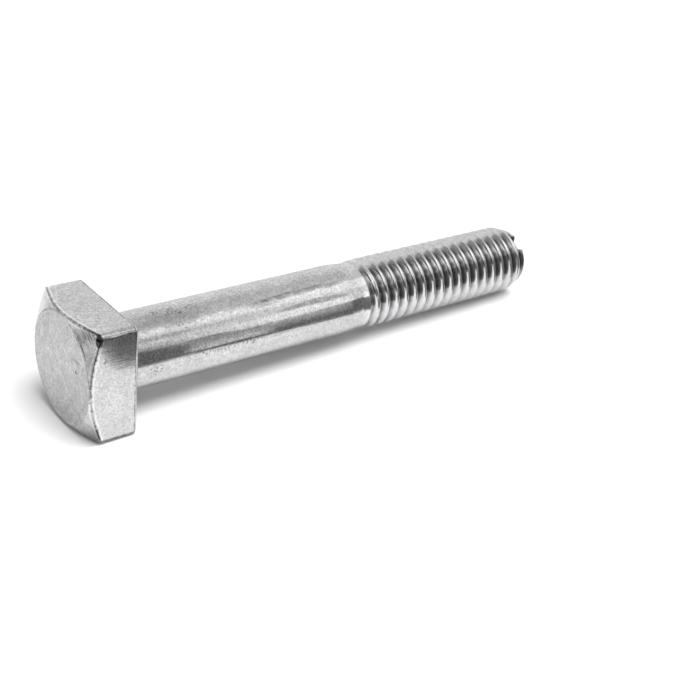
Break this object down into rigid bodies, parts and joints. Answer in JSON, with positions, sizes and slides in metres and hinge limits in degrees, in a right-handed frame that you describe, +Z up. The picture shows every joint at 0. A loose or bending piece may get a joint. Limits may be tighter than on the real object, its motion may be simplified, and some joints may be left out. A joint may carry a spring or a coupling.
{
  "type": "square head bolt",
  "caption": "Square head bolt with a chamfered head, a plain round shank and a right-hand thread on its end, lying on one flat of its head.",
  "frame": {"origin": "on the floor, under the middle of the bolt's length, where the bolt lies at rest on one flat of its head and its last full thread", "axes": "+X from the head towards the tip, with the bolt's axis tilted 2.2 degrees down towards the tip; +Z up; the head's four flats face up, down, +Y and -Y"},
  "size_m": [0.07, 0.014, 0.0142],
  "materials": {
    "zinc_plated_steel": "bright zinc plate with fine drawing lines, scuffs and small pits"
  },
  "bodies": {
    "root": {"square_head_bolt": "zinc_plated_steel"}
  },
  "joints": []
}
